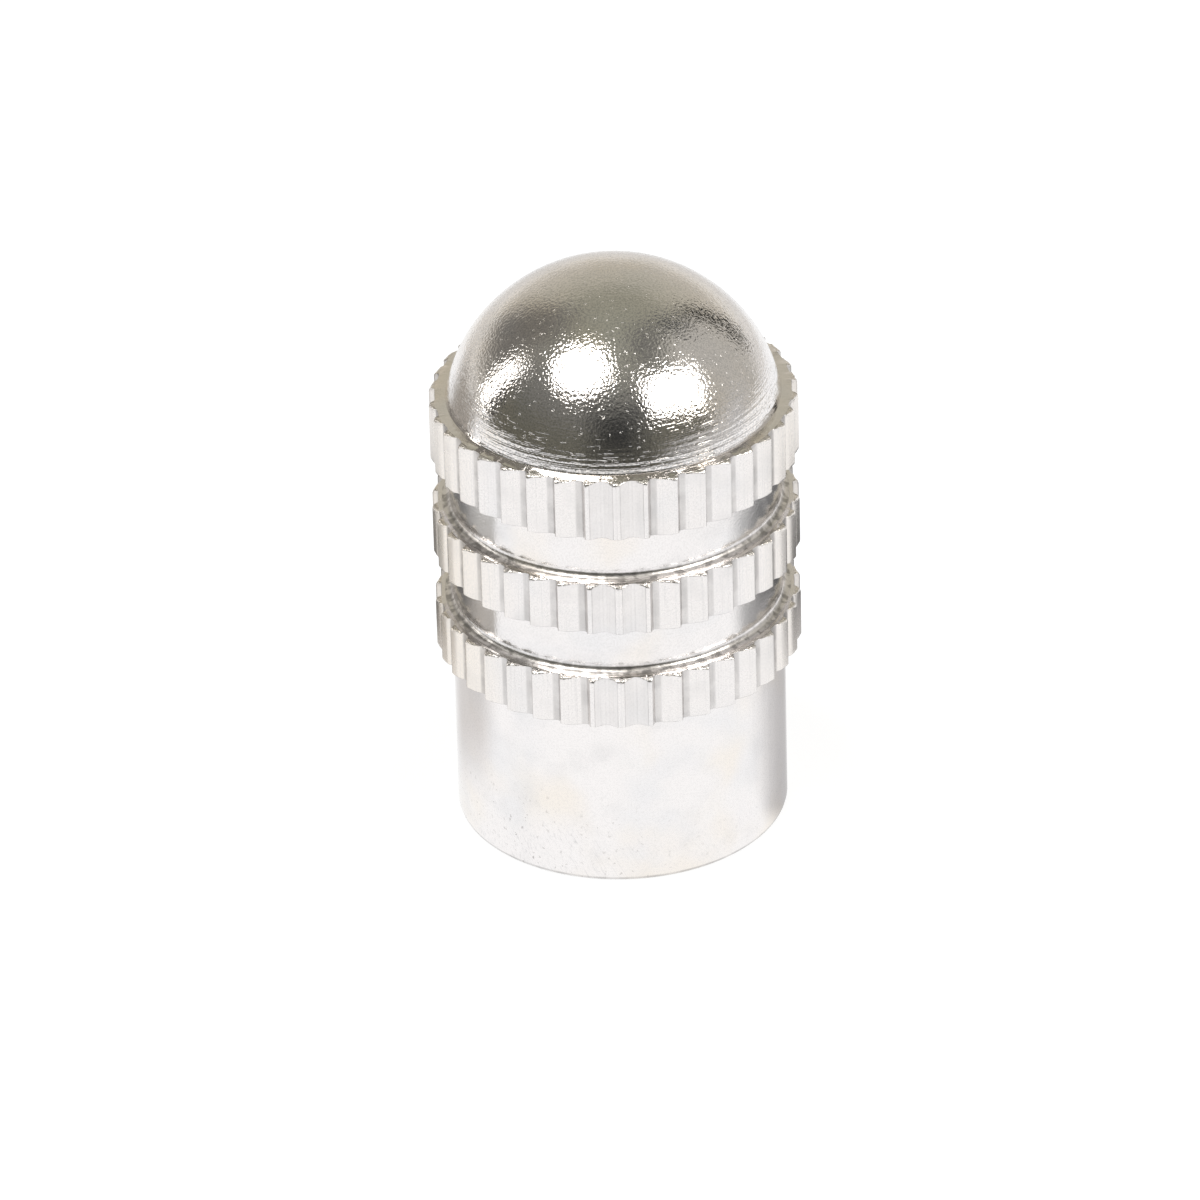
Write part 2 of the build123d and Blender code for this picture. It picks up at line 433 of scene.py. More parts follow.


# turns half an outline round the axis: one row of the grid for each point of the outline, one column for
# each point of the columns object, whose x is the angle, y the largest radius that a band has there and z
# its tone, with painted warm reflection at the sides, with a mark for how dark its painted shade and grime
# are
def turningTree():
    tree = bpy.data.node_groups.new("turnedPiece", "GeometryNodeTree")
    sockets = (
        ("Outline", "Geometry"),
        ("Columns", "Object"),
        ("Thread pitch", "Float"),
        ("Mouth radius", "Float"),
        ("Relief radius", "Float"),
        ("Relief level", "Float"),
        ("Burr height", "Float"),
        ("Burr size", "Float"),
        ("Seed", "Float"),
        ("Sharp angle", "Float"),
        ("Outside", "Material"),
        ("Inside", "Material"),
    )
    for label, kind in sockets:
        tree.interface.new_socket(label, in_out="INPUT", socket_type="NodeSocket" + kind)
    tree.interface.new_socket("Piece", in_out="OUTPUT", socket_type="NodeSocketGeometry")
    given = put(tree, "NodeGroupInput").outputs
    result = put(tree, "NodeGroupOutput")

    def pointCount(source):
        return put(tree, "GeometryNodeAttributeDomainSize", {"Geometry": source}).outputs["Point Count"]

    columns = put(tree, "GeometryNodeObjectInfo", {"Object": given["Columns"]}).outputs["Geometry"]
    rowCount = pointCount(given["Outline"])
    gridInputs = {"Vertices X": pointCount(columns), "Vertices Y": rowCount}
    grid = put(tree, "GeometryNodeMeshGrid", gridInputs)

    # which row and column a point of the grid is in
    index = put(tree, "GeometryNodeInputIndex").outputs[0]
    column = calc(tree, "FLOOR", calc(tree, "DIVIDE", calc(tree, "ADD", index, 0.5), rowCount))
    row = calc(tree, "SUBTRACT", index, calc(tree, "MULTIPLY", column, rowCount))
    position = put(tree, "GeometryNodeInputPosition").outputs[0]

    def sample(source, value, number, kind):
        inputs = {"Geometry": source, "Index": number, "Value": value}
        return put(tree, "GeometryNodeSampleIndex", inputs, data_type=kind).outputs[0]

    def named(name):
        return put(tree, "GeometryNodeInputNamedAttribute", {"Name": name}, data_type="FLOAT").outputs[0]

    def mark(name):
        return sample(given["Outline"], named(name), row, "FLOAT")

    plan = separate(tree, sample(columns, position, column, "FLOAT_VECTOR"))
    point = separate(tree, sample(given["Outline"], position, row, "FLOAT_VECTOR"))
    thread = mark("thread")
    burr = mark("burr")
    band = mark("band")
    firstAngle = separate(tree, sample(columns, position, 0, "FLOAT_VECTOR"))["X"]
    turn = calc(tree, "DIVIDE", calc(tree, "SUBTRACT", plan["X"], firstAngle), 2 * math.pi)

    # outside rows are cut by the gaps between the teeth, and painted shade and grime lie in them
    outerRadius = calc(tree, "MINIMUM", point["X"], plan["Y"])
    gapShadeAndGrime = calc(tree, "MULTIPLY", sample(columns, named("dark"), column, "FLOAT"), band)
    kept = {
        "inside": mark("inside"),
        "band": band,
        "burr": burr,
        "grime": calc(tree, "MAXIMUM", gapShadeAndGrime, mark("grime")),
        "groove": mark("groove"),
        "tone": calc(tree, "MULTIPLY", plan["Z"], band),
    }

    # thread rows climb by one pitch a turn, and stop at the chamfered mouth and at the relief
    climbed = calc(tree, "MULTIPLY_ADD", turn, given["Thread pitch"], point["Z"])
    threadLevel = calc(tree, "MINIMUM", calc(tree, "MAXIMUM", climbed, 0.0), given["Relief level"])
    chamfer = calc(tree, "SUBTRACT", given["Mouth radius"], threadLevel)
    cutRadius = calc(tree, "MAXIMUM", point["X"], chamfer)
    past = calc(tree, "GREATER_THAN", climbed, given["Relief level"])
    threadRadius = blendValue(tree, past, cutRadius, given["Relief radius"])
    radius = blendValue(tree, thread, outerRadius, threadRadius)
    level = blendValue(tree, thread, point["Z"], threadLevel)

    def ringPlace(radius, level):
        x = calc(tree, "MULTIPLY", calc(tree, "COSINE", plan["X"]), radius)
        y = calc(tree, "MULTIPLY", calc(tree, "SINE", plan["X"]), radius)
        return put(tree, "ShaderNodeCombineXYZ", {"X": x, "Y": y, "Z": level}).outputs[0]

    # small burrs that the pressing left on the upper edges of the teeth
    burrScale = calc(tree, "DIVIDE", 1.0, given["Burr size"])
    noiseInputs = {"Vector": ringPlace(radius, level), "Scale": burrScale, "W": given["Seed"],
                   "Detail": turning["burrDetail"]}
    noise = put(tree, "ShaderNodeTexNoise", noiseInputs, noise_dimensions="4D").outputs[0]
    lump = calc(tree, "MULTIPLY", calc(tree, "SUBTRACT", noise, turning["burrLevel"]), given["Burr height"])
    cut = calc(tree, "MINIMUM", calc(tree, "MULTIPLY", lump, burr), 0.0)
    place = ringPlace(calc(tree, "ADD", radius, cut), calc(tree, "ADD", level, cut))

    mesh = grid.outputs["Mesh"]
    for name, value in kept.items():
        inputs = {"Geometry": mesh, "Name": name, "Value": value}
        mesh = put(tree, "GeometryNodeStoreNamedAttribute", inputs, data_type="FLOAT",
                   domain="POINT").outputs[0]
    mesh = put(tree, "GeometryNodeSetPosition", {"Geometry": mesh, "Position": place}).outputs[0]
    mergeInputs = {"Geometry": mesh, "Distance": turning["mergeDistance"]}
    mesh = put(tree, "GeometryNodeMergeByDistance", mergeInputs).outputs[0]
    # the grid's faces point to the axis, so they are turned outwards
    mesh = put(tree, "GeometryNodeFlipFaces", {"Mesh": mesh}).outputs[0]
    mesh = put(tree, "GeometryNodeSetShadeSmooth", {"Geometry": mesh}, domain="FACE").outputs[0]
    angle = put(tree, "GeometryNodeInputMeshEdgeAngle").outputs["Unsigned Angle"]
    sharpInputs = {"Geometry": mesh, "Shade Smooth": False,
                   "Selection": calc(tree, "GREATER_THAN", angle, given["Sharp angle"])}
    mesh = put(tree, "GeometryNodeSetShadeSmooth", sharpInputs, domain="EDGE").outputs[0]
    mesh = put(tree, "GeometryNodeRealizeInstances", {"Geometry": mesh}).outputs[0]
    mesh = put(tree, "GeometryNodeSetMaterial", {"Geometry": mesh, "Material": given["Outside"]}).outputs[0]
    innerInputs = {"Geometry": mesh, "Material": given["Inside"],
                   "Selection": calc(tree, "GREATER_THAN", named("inside"), turning["insideFrom"])}
    mesh = put(tree, "GeometryNodeSetMaterial", innerInputs).outputs[0]
    tree.links.new(mesh, result.inputs["Piece"])
    return tree


def pointObject(name, points, marks):
    mesh = bpy.data.meshes.new(name)
    mesh.from_pydata(points, [], [])
    for label, values in marks.items():
        mesh.attributes.new(label, "FLOAT", "POINT").data.foreach_set("value", values)
    holder = bpy.data.objects.new(name, mesh)
    scene.collection.objects.link(holder)
    return holder


# runs the turning tree on an outline in millimetres and leaves one plain mesh, without the modifier
def turnPiece(name, tree, rows, columns, values):
    points = [(row["r"] * mm, 0.0, row["z"] * mm) for row in rows]
    labels = ("thread", "band", "burr", "grime", "groove", "inside")
    marks = {label: [row.get(label, 0.0) for row in rows] for label in labels}
    outline = pointObject(name + "Outline", points, marks)
    planPoints = [(angle, radius * mm, tone) for angle, radius, tone, dark in columns]
    plan = pointObject(name + "Columns", planPoints, {"dark": [column[3] for column in columns]})
    modifier = outline.modifiers.new("turn", "NODES")
    modifier.node_group = tree
    values = dict(values, Columns=plan)
    for item in tree.interface.items_tree:
        if item.in_out == "INPUT" and item.name in values:
            modifier[item.identifier] = values[item.name]
    bpy.context.view_layer.update()
    turned = outline.evaluated_get(bpy.context.evaluated_depsgraph_get())
    mesh = bpy.data.meshes.new_from_object(turned)
    mesh.name = name
    piece = bpy.data.objects.new(name, mesh)
    scene.collection.objects.link(piece)
    outline.modifiers.remove(modifier)
    bpy.data.objects.remove(outline)
    bpy.data.objects.remove(plan)
    return piece


def arcRows(centre, radius, start, end, steps, **marks):
    rows = []
    for step in range(steps + 1):
        angle = math.radians(start + (end - start) * step / steps)
        r = centre[0] + radius * math.cos(angle)
        z = centre[1] + radius * math.sin(angle)
        rows.append(dict(marks, r=r, z=z))
    return rows


# the cap's shell, sizes in millimetres
shell = {
    "skirtRadius": 4.55,
    "skirtHeight": 5.2,
    "rimRound": 0.09,
    "rimSteps": 3,
    # painted contact shade on the bottom round of the skirt
    "rimShade": 0.50,
    "grooveRadius": 4.5,
    "grooveHeight": 1.45,
    "grooveFillet": 0.21,
    "cornerShade": (0.22, 0.22, 0.55, 0.55, 0.55, 0.55),   # painted shade and grime at each row of the fillet, from the floor out
    "bandHeight": 1.5,
    "topBandHeight": 1.75,
    "upperRound": 0.13,
    "upperBurr": (1.0, 1.0, 0.8, 0.3, 0.0),   # at each row of the upper round, from the top down
    "innerBurr": 0.25,       # on the flat inside it
    "lowerRound": 0.06,
    "unshadedRound": 50.0,      # degrees of the lower round that stay free of painted shade
    "shadedRound": 70.0,      # and from where on it has painted shade
    # painted shade along the lower edge of each band
    "edgeShade": 0.65,
    "footRadius": 4.55,
    "domeSteps": 30,
    "edgeHold": 0.03,        # a row this close to each round keeps the flat beside it flat
    "threadPitch": 25.4 / 32,
    "threadDepth": 0.43,
    "threadCrest": (0.0, 0.25),          # from and to, as shares of the pitch
    "threadRoot": (0.5625, 0.6875),
    "washerClearance": 0.1,
    "washerSnapRoom": 0.3,
    "recessRadius": 1.7,
    "recessDepth": 0.9,
    "drillPoint": 118.0,
    "burrHeight": 0.07,
    "burrSize": 0.11,
}
shell["bandRadius"] = (shellHigh[1] - shellLow[1]) / 2 / mm
shell["domeTop"] = shellHigh[2] / mm
shell["boreRadius"] = mounts["stem_thread"]["dims"]["r_mm"]
shell["threadLength"] = mounts["stem_thread"]["dims"]["length_mm"]
shell["endWall"] = washerHigh[2] / mm
shell["reliefLevel"] = washerLow[2] / mm - shell["washerSnapRoom"]
shell["reliefRadius"] = washerHigh[0] / mm + shell["washerClearance"]
shell["mouthRadius"] = shell["boreRadius"] + shell["reliefLevel"] - shell["threadLength"]
shell["ledgeLevel"] = (shell["skirtHeight"] + 2 * (shell["bandHeight"] + shell["grooveHeight"])
                       + shell["topBandHeight"])


def domeRows(size):
    rise = size["domeTop"] - size["ledgeLevel"]
    radius = (size["footRadius"] ** 2 + rise ** 2) / (2 * rise)
    centre = (0.0, size["domeTop"] - radius)
    foot = math.degrees(math.asin((radius - rise) / radius))
    rows = arcRows(centre, radius, 90.0, foot, size["domeSteps"])
    rows[0]["r"] = 0.0       # a true pole, so that its corners merge
    return rows


def bandRows(size, bottom, top):
    radius = size["bandRadius"]
    hold = size["edgeHold"]
    upper = size["upperRound"]
    lower = size["lowerRound"]
    rows = [dict(r=radius - upper - hold, z=top, burr=size["innerBurr"])]
    burrs = size["upperBurr"]
    rounded = arcRows((radius - upper, top - upper), upper, 90, 0, len(burrs) - 1, band=1.0)
    rows += [dict(row, burr=burr) for row, burr in zip(rounded, burrs)]
    for level in (top - upper - hold, (top + bottom) / 2, bottom + lower + hold):
        rows.append(dict(r=radius, z=level, band=1.0))
    centre = (radius - lower, bottom + lower)
    rows += arcRows(centre, lower, 0, -size["unshadedRound"], 2, band=1.0)
    # the lower part of the round under each band carries painted shade
    rows += arcRows(centre, lower, -size["shadedRound"], -90, 1, band=1.0, grime=size["edgeShade"])
    rows += [dict(r=radius - lower - hold, z=bottom)]
    return rows


def grooveRows(size, bottom, top):
    floor = size["grooveRadius"]
    fillet = size["grooveFillet"]
    hold = size["edgeHold"]
    cornerShades = size["cornerShade"]
    rows = [dict(r=floor, z=top), dict(r=floor, z=bottom + fillet + hold)]
    rounded = arcRows((floor + fillet, bottom + fillet), fillet, 180, 270, len(cornerShades) - 1)
    # the fillet's rows carry painted shade and grime
    rows += [dict(row, grime=grime) for row, grime in zip(rounded, cornerShades)]
    rows += [dict(r=floor + fillet + hold, z=bottom)]
    return [dict(row, groove=1.0) for row in rows]


def skirtRows(size):
    radius = size["skirtRadius"]
    edge = size["rimRound"]
    hold = size["edgeHold"]
    top = size["skirtHeight"]
    rows = [dict(r=radius, z=level) for level in (top, top / 2, edge + hold)]
    # the bottom round carries painted contact shade
    rows += arcRows((radius - edge, edge), edge, 0, -90, size["rimSteps"], grime=size["rimShade"])
    rows += [dict(r=radius - edge - hold, z=0.0)]
    return rows


def boreRows(size):
    pitch = size["threadPitch"]
    crest = size["boreRadius"]
    root = crest + size["threadDepth"]
    turns = math.ceil(size["reliefLevel"] / pitch) + 1
    profile = [(share, crest) for share in size["threadCrest"]]
    profile += [(share, root) for share in size["threadRoot"]]
    rows = [dict(r=size["mouthRadius"], z=0.0, inside=1.0)]
    for turn in range(-1, turns):
        for share, radius in profile:
            rows.append(dict(r=radius, z=(turn + share) * pitch, thread=1.0, inside=1.0))
    wall = size["endWall"]
    recess = size["recessRadius"]
    recessTop = wall + size["recessDepth"]
    point = recessTop + recess / math.tan(math.radians(size["drillPoint"] / 2))
    corners = (
        (size["reliefRadius"], size["reliefLevel"]),
        (size["reliefRadius"], wall),
        (recess, wall),
        (recess, recessTop),
        (0.0, point),
    )
    rows += [dict(r=r, z=z, inside=1.0) for r, z in corners]
    return rows


def shellRows(size):
    rows = domeRows(size)
    top = size["ledgeLevel"]
    heights = (size["topBandHeight"], size["bandHeight"], size["bandHeight"])
    for number, height in enumerate(heights):
        bottom = top - height
        rows += bandRows(size, bottom, top)
        if number < len(heights) - 1:
            top = bottom - size["grooveHeight"]
            rows += grooveRows(size, top, bottom)
    return rows + skirtRows(size) + boreRows(size)


# the teeth round the bands, pressed by two half dies that met at the front and the back: away from a seam
# each tooth rises slowly to its tip and then drops
teeth = {
    "count": 38,
    "depth": 0.19,           # millimetres
    # one tooth from the tip before it to its own tip: shares of the pitch and the depth, and how dark its
    # painted shade and grime are
    "pressed": ((0.0, 0.0, 0.0), (0.02, 0.04, 0.0), (0.035, 0.12, 0.75), (0.055, 0.25, 0.30),
                (0.11, 0.80, 0.35), (0.13, 0.92, 0.85), (0.155, 0.98, 0.60), (0.18, 1.0, 0.48),
                (0.30, 1.0, 0.42), (0.34, 0.92, 0.34), (0.38, 0.81, 0.0), (0.60, 0.52, 0.0),
                (0.80, 0.26, 0.0), (0.95, 0.04, 0.0), (1.0, 0.0, 0.0)),
    "atSeam": ((0.0, 0.0, 0.12), (0.04, 0.02, 0.0), (0.105, 0.08, 0.0), (0.12, 0.11, 0.75),
               (0.14, 0.16, 0.15), (0.35, 0.85, 0.12), (0.42, 0.96, 0.18), (0.45, 0.98, 0.05),
               (0.5, 1.0, 0.10), (0.54, 0.98, 0.22), (0.57, 0.96, 0.05), (0.65, 0.85, 0.12),
               (0.86, 0.16, 0.15), (0.88, 0.11, 0.75), (0.895, 0.08, 0.0), (0.96, 0.02, 0.0),
               (1.0, 0.0, 0.0)),
    "atSide": ((0.0, 0.0, 0.0), (0.02, 0.04, 0.0), (0.035, 0.12, 0.55), (0.055, 0.25, 0.15),
               (0.11, 0.80, 0.15), (0.13, 0.92, 0.70), (0.18, 1.0, 0.20), (0.5, 1.0, 0.15),
               (0.82, 1.0, 0.20), (0.87, 0.92, 0.70), (0.89, 0.80, 0.15), (0.945, 0.25, 0.15),
               (0.965, 0.12, 0.55), (0.98, 0.04, 0.0), (1.0, 0.0, 0.0)),
    "rootEnd": (0.25, 0.5),  # points between these shares move with the end of a wider root
    "rootSpread": 0.17,      # share of the pitch by which the roots are wider at the sides
    "sideDark": 0.45,        # share by which the painted shade of the roots is darker there
    "frontDark": 0.75,       # how dark the painted shade in the gaps is at the front, against that at the sides
    "uneven": 0.12,          # share by which depths differ
    "unevenTone": 0.12,      # and tones
    "sides": (42.0, 66.0),   # degrees from the front where the sides start, and are full
    "sideWarmSheen": 0.5,         # how much warmer the teeth are there, as a painted warm reflection
    "seed": 5,
}


def shareBetween(value, low, high):
    return min(max((value - low) / (high - low), 0.0), 1.0)


# degrees from the front, to either hand
def fromFront(angle):
    return abs((angle + 180.0) % 360.0 - 180.0)


# one tooth's section, in the order of its angles
def toothSection(number):
    count = teeth["count"]
    # the same tooth on each side of the seams, so count from the nearest one
    half = number if number < count / 2 else count - 1 - number
    quarter = min(half, count // 2 - 1 - half)
    backwards = (number < count / 2) != (half == quarter)
    section = teeth["pressed"]
    if quarter == 0:
        section = teeth["atSeam"]
    elif half == count // 4:
        section = teeth["atSide"]
    else:
        middle = fromFront(360.0 / count * (number + 0.5))
        spread = shareBetween(min(middle, 180.0 - middle), *teeth["sides"])
        wider = teeth["rootSpread"] * spread
        darker = 1.0 + teeth["sideDark"] * spread
        low, high = teeth["rootEnd"]
        section = [(share + wider if low < share < high else share, drop, min(dark * darker, 1.0))
                   for share, drop, dark in section]
    if backwards:
        section = [(1.0 - share, drop, dark) for share, drop, dark in reversed(section)]
    return section


# columns of the mesh, each with its angle, radius, tone with painted warm reflection at the sides, and
# darkness of painted shade and grime
def toothColumns(bandRadius):
    draw = random.Random(teeth["seed"])
    pitch = 360.0 / teeth["count"]
    frontDark = teeth["frontDark"]
    columns = []
    for number in range(teeth["count"]):
        depth = teeth["depth"] * (1.0 - teeth["uneven"] * draw.random())
        tone = teeth["unevenTone"] * draw.random()
        for share, drop, dark in toothSection(number)[:-1]:
            angle = pitch * (number + share)
            aside = fromFront(angle)
            warmSheen = teeth["sideWarmSheen"] * shareBetween(aside, *teeth["sides"])
            # painted shade and grime in the gaps, darker towards the sides
            darkness = dark * (frontDark + (1.0 - frontDark) * min(aside / teeth["sides"][1], 1.0))
            columns.append((math.radians(angle - 90.0), bandRadius - depth * drop, tone + warmSheen, darkness))
    angle, radius, tone, dark = columns[0]
    return columns + [(angle + 2 * math.pi, radius, tone, dark)]


# the rubber ring in the relief, sizes in millimetres
washer = {
    "holeRadius": 1.5,
    "edgeRound": 0.14,
    "roundSteps": 4,
    "columns": 120,
}


def washerRows(size):
    inner = size["holeRadius"]
    outer = washerHigh[0] / mm
    low = washerLow[2] / mm
    high = washerHigh[2] / mm
    edge = size["edgeRound"]
    corners = (
        ((inner + edge, high - edge), 180),
        ((outer - edge, high - edge), 90),
        ((outer - edge, low + edge), 0),
        ((inner + edge, low + edge), -90),
    )
    rows = []
    for centre, start in corners:
        rows += arcRows(centre, edge, start, start - 90, size["roundSteps"])
    return rows + rows[:1]


turnedPiece = turningTree()
nickel = nickelMaterial(shell["ledgeLevel"] * mm)
bore = boreMaterial()
rubber = rubberMaterial()
print("finishes and turning tree ready")

shellColumns = toothColumns(shell["bandRadius"])
shellValues = {
    "Thread pitch": shell["threadPitch"] * mm,
    "Mouth radius": shell["mouthRadius"] * mm,
    "Relief radius": shell["reliefRadius"] * mm,
    "Relief level": shell["reliefLevel"] * mm,
    "Burr height": shell["burrHeight"] * mm,
    "Burr size": shell["burrSize"] * mm,
    "Seed": turning["burrSeed"],
    "Sharp angle": turning["sharpAngle"],
    "Outside": nickel,
    "Inside": bore,
}
capShell = turnPiece("capShell", turnedPiece, shellRows(shell), shellColumns, shellValues)
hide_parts("cap_shell")
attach(capShell, "root")
print("shell has", len(shellColumns), "columns and", len(capShell.data.polygons), "faces")

turns = washer["columns"]
plainColumns = [(2 * math.pi * number / turns, shell["bandRadius"], 0.0, 0.0) for number in range(turns + 1)]
washerValues = dict(shellValues, Outside=rubber, Inside=rubber)
sealingRing = turnPiece("sealingRing", turnedPiece, washerRows(washer), plainColumns, washerValues)
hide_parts("sealing_washer")
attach(sealingRing, "root")
print("washer has", len(sealingRing.data.polygons), "faces")


# the studio: white paper, two softboxes, a strip light and a dim room, all placed by azimuth from the camera
# to the right and elevation, in degrees
studio = {
    "distance": 0.5,
    # name, shape, azimuth, elevation, roll, width, height, radiance
    "lamps": (("softboxLeft", "ELLIPSE", -44.2, 61.2, 0.0, 0.305, 0.28, 5.0),
              ("softboxRight", "RECTANGLE", 56.5, 38.5, -22.0, 0.33, 0.20, 5.0),
              ("stripLeft", "RECTANGLE", -101.0, 20.0, -12.0, 0.075, 0.27, 3.0)),
    "lampColour": (1.0, 0.965, 0.91),
    "paperFront": 0.2,
    "paperReach": 1.5,
    "paperRight": 0.17,
    "paperDrop": 0.02 * mm,
    "paperWhite": 0.86,
    "seenWhite": 0.80,       # how much of the paper's shadow the camera doesn't see near the cap
    "shadowFade": (6.0 * mm, 11.0 * mm),   # from here on it sees less, and none
    "overexposed": 0.12,     # how much brighter than white the paper is to the camera
    "paperFade": (38.0 * mm, 78.0 * mm),   # behind the cap, to the metal
    "farPaper": rgb(0.70, 0.675, 0.64),
    # painted grey shadows of the cap on the paper, for the metal alone, as parts of rings in millimetres and
    # degrees: their side, the ring's middle, inner and outer radius, the azimuths where a shadow starts, is
    # full, is still full and ends, how softly its inner and outer edges fade, and its colour; two that end at
    # 181 meet behind the cap
    "paintedShadows": ((-1.0, (0.0, -1.9), 18.3, 22.2, (88.0, 91.0, 180.0, 181.0), 0.3, rgb(0.37, 0.36, 0.34)),
              (-1.0, (0.0, -1.9), 13.4, 17.0, (88.0, 93.0, 180.0, 181.0), 0.3, rgb(0.34, 0.31, 0.27)),
              (-1.0, (0.0, -1.9), 13.0, 22.5, (104.0, 130.0, 180.0, 181.0), 0.3, rgb(0.13, 0.126, 0.12)),
              (-1.0, (-3.9, -2.3), 1.5, 13.0, (84.0, 120.0, 145.0, 178.0), 5.0, rgb(0.70, 0.68, 0.665)),
              (-1.0, (0.0, -1.9), 26.0, 300.0, (100.0, 112.0, 128.0, 150.0), 8.0, rgb(0.37, 0.34, 0.30)),
              (1.0, (0.0, -1.9), 18.4, 22.0, (77.0, 95.0, 180.0, 181.0), 0.3, rgb(0.36, 0.36, 0.36)),
              (1.0, (0.0, -1.9), 13.4, 17.0, (80.0, 95.0, 180.0, 181.0), 0.3, rgb(0.36, 0.36, 0.36)),
              (1.0, (0.0, -1.9), 13.0, 22.5, (92.0, 114.0, 180.0, 181.0), 0.3, rgb(0.11, 0.11, 0.11)),
              (1.0, (3.9, -2.3), 0.1, 13.0, (86.0, 150.0, 158.0, 178.0), 1.5, rgb(0.55, 0.54, 0.54)),
              (-1.0, (0.0, -1.9), 11.0, 26.0, (138.0, 164.0, 180.0, 181.0), 5.0, rgb(0.55, 0.535, 0.52)),
              (1.0, (0.0, -1.9), 11.0, 26.0, (138.0, 164.0, 180.0, 181.0), 5.0, rgb(0.55, 0.535, 0.52))),
    # the room's colour by elevation, in front and behind
    "front": ((-6.0, (0.12, 0.118, 0.11)), (8.0, (0.13, 0.125, 0.10)), (19.0, (0.14, 0.135, 0.112)),
              (32.0, (0.17, 0.165, 0.15)), (46.0, (0.20, 0.195, 0.175)), (62.0, (0.25, 0.245, 0.21)),
              (80.0, (0.30, 0.295, 0.245))),
    "behind": ((-5.0, (0.95, 0.94, 0.93)), (3.0, (0.78, 0.74, 0.67)), (12.0, (0.56, 0.52, 0.45)),
               (32.0, (0.48, 0.45, 0.375)), (58.0, (0.30, 0.29, 0.23)), (80.0, (0.30, 0.295, 0.24))),
    "frontMiddle": -10.0,
    "frontFade": (70.0, 120.0),
    # azimuth, elevation, half width and half height of a patch of the room, softness and colour
    "patches": ((-124.0, 36.0, 20.0, 26.0, 0.5, rgb(0.175, 0.166, 0.15)),
                (102.0, 24.0, 27.0, 34.0, 0.35, rgb(0.48, 0.46, 0.42)),
                (135.0, 22.0, 4.2, 20.0, 0.28, rgb(0.025, 0.025, 0.024)),
                (121.0, 53.0, 8.0, 10.0, 0.40, rgb(0.09, 0.09, 0.085)),
                (2.0, 23.0, 17.0, 15.0, 1.0, rgb(0.035, 0.035, 0.034)),
                (85.0, 70.0, 35.0, 8.0, 0.5, rgb(0.17, 0.165, 0.15)),
                (72.0, 1.0, 31.0, 8.0, 0.6, rgb(0.55, 0.54, 0.53)),
                (-95.0, 20.0, 4.5, 14.0, 0.3, rgb(0.035, 0.035, 0.036))),
}


def towards(azimuth, elevation):
    a = math.radians(azimuth)
    e = math.radians(elevation)
    return Vector((math.sin(a) * math.cos(e), -math.cos(a) * math.cos(e), math.sin(e)))


# azimuth from the camera to the right, in degrees, of a place or direction
def azimuthOf(tree, aside, y):
    away = calc(tree, "MULTIPLY", y, -1.0)
    return calc(tree, "DEGREES", calc(tree, "ARCTAN2", aside, away))


def addLamps(middle):
    for name, shape, azimuth, elevation, roll, width, height, radiance in studio["lamps"]:
        lamp = bpy.data.lights.new(name, "AREA")
        lamp.shape = shape
        lamp.size = width
        lamp.size_y = height
        area = width * height * (math.pi / 4 if shape == "ELLIPSE" else 1.0)
        lamp.energy = radiance * math.pi * area
        lamp.color = studio["lampColour"]
        holder = bpy.data.objects.new(name, lamp)
        direction = towards(azimuth, elevation)
        holder.location = middle + direction * studio["distance"]
        holder.rotation_mode = "QUATERNION"
        turned = Quaternion((0.0, 0.0, 1.0), math.radians(roll))
        holder.rotation_quaternion = direction.to_track_quat("Z", "Y") @ turned
        scene.collection.objects.link(holder)


# how much of a place on the paper a painted shadow covers
def paintedShadowShare(tree, place, side, middle, inner, outer, azimuths, fade):
    start, full, stillFull, end = azimuths
    arm = calcVector(tree, "SUBTRACT", {0: place, 1: (middle[0] * mm, middle[1] * mm, 0.0)})[0]
    axes = separate(tree, arm)
    azimuth = azimuthOf(tree, calc(tree, "MULTIPLY", axes["X"], side), axes["Y"])
    along = calc(tree, "MULTIPLY", ramp(tree, azimuth, start, full),
                 ramp(tree, azimuth, stillFull, end, 1.0, 0.0))
    radius = calcVector(tree, "LENGTH", {0: arm})["Value"]
    across = calc(tree, "MULTIPLY", ramp(tree, radius, inner * mm, (inner + fade) * mm),
                  ramp(tree, radius, (outer - fade) * mm, outer * mm, 1.0, 0.0))
    return calc(tree, "MULTIPLY", along, across)


